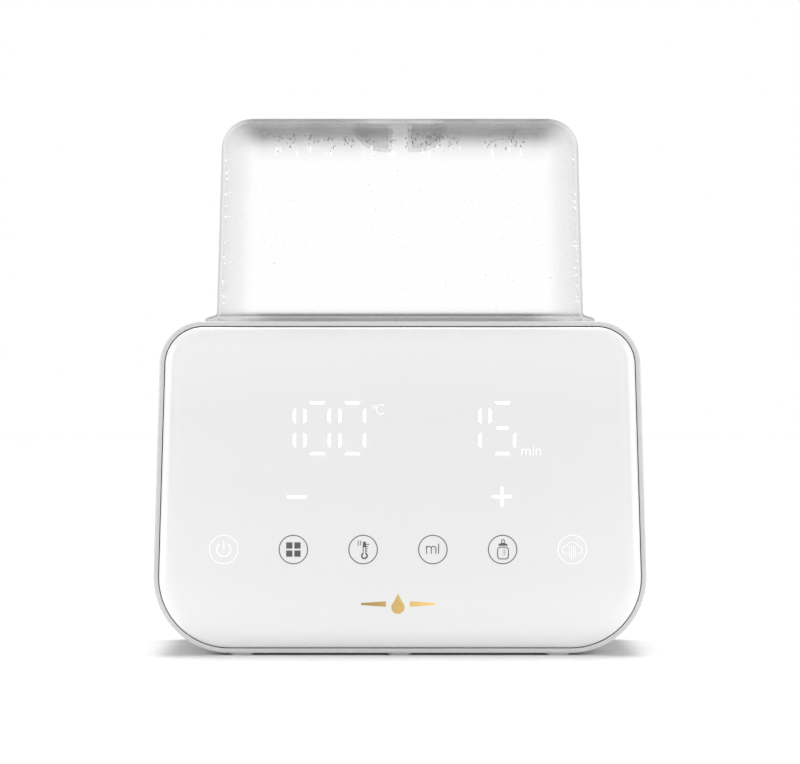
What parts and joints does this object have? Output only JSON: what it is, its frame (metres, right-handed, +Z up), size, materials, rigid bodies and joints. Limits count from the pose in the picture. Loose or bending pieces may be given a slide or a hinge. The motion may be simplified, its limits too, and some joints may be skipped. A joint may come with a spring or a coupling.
{
  "type": "bottle sterilizer",
  "caption": "Steam sterilizer and warmer for feeding bottles: a rounded white body with a touch panel, and a clear lid over lift-out bottle baskets.",
  "frame": {"origin": "on the surface that the feet stand on, under the middle of the body and its cord gland", "axes": "+Z up, the touch panel faces -Y, +X to the right as seen by someone facing the panel"},
  "size_m": [0.2466, 0.15, 0.2706],
  "materials": {
    "panel_white": "gloss",
    "housing_grey": "satin",
    "cover_white": "satin",
    "lid_clear": "clear, misted",
    "chamber_white": "satin",
    "basket_sand": "satin",
    "rubber_grey": "matte",
    "silicone": "matte",
    "plate_coated": "coated",
    "steel": "plain",
    "board_green": "satin",
    "terminal_green": "satin",
    "part_black": "matte",
    "lead_red": "satin",
    "lead_blue": "satin",
    "lead_green": "satin"
  },
  "bodies": {
    "base": {"base_plate": "cover_white", "base_screw_1": "steel", "base_screw_2": "steel", "base_screw_3": "steel", "base_screw_4": "steel", "board_screw_1": "steel", "board_screw_2": "steel", "board_screw_3": "steel", "board_screw_4": "steel", "chamber_seal": "silicone", "control_board": "board_green", "cord_gland": "rubber_grey", "earth_lead": "lead_green", "foot_front_centre": "rubber_grey", "foot_front_left": "rubber_grey", "foot_front_right": "rubber_grey", "foot_rear_centre": "rubber_grey", "foot_rear_left": "rubber_grey", "foot_rear_right": "rubber_grey", "front_panel": "panel_white", "heater_lead_left": "lead_red", "heater_lead_right": "lead_blue", "heating_element": "steel", "heating_plate": "plate_coated", "live_lead": "lead_red", "main_housing": "housing_grey", "mains_capacitor": "lead_red", "mains_terminal": "terminal_green", "neutral_lead": "lead_blue", "plate_screw_1": "steel", "plate_screw_2": "steel", "plate_screw_3": "steel", "plate_screw_4": "steel", "power_board": "board_green", "rear_cover": "cover_white", "relay": "lead_blue", "ribbon_cable": "cover_white", "ribbon_header": "cover_white", "sounder": "part_black", "temperature_display": "part_black", "temperature_sensor": "steel", "thermal_cut_out": "part_black", "thermal_fuse": "steel", "timer_display": "part_black", "touch_contact_bottle": "part_black", "touch_contact_minus": "part_black", "touch_contact_mode": "part_black", "touch_contact_plus": "part_black", "touch_contact_power": "part_black", "touch_contact_steam": "part_black", "touch_contact_temperature": "part_black", "touch_contact_volume": "part_black", "transformer": "part_black", "water_chamber": "chamber_white"},
    "lid": {"lid": "lid_clear"},
    "basket_left": {"bottle_basket_left": "basket_sand"},
    "basket_right": {"bottle_basket_right": "basket_sand"}
  },
  "joints": [
    {"name": "lid_lift", "type": "slide", "parent": "base", "child": "lid", "axis": [0, 0, 1], "range_m": [0, 0.16]},
    {"name": "basket_left_lift", "type": "slide", "parent": "base", "child": "basket_left", "axis": [0, 0, 1], "range_m": [0, 0.072]},
    {"name": "basket_right_lift", "type": "slide", "parent": "base", "child": "basket_right", "axis": [0, 0, 1], "range_m": [0, 0.072]}
  ]
}
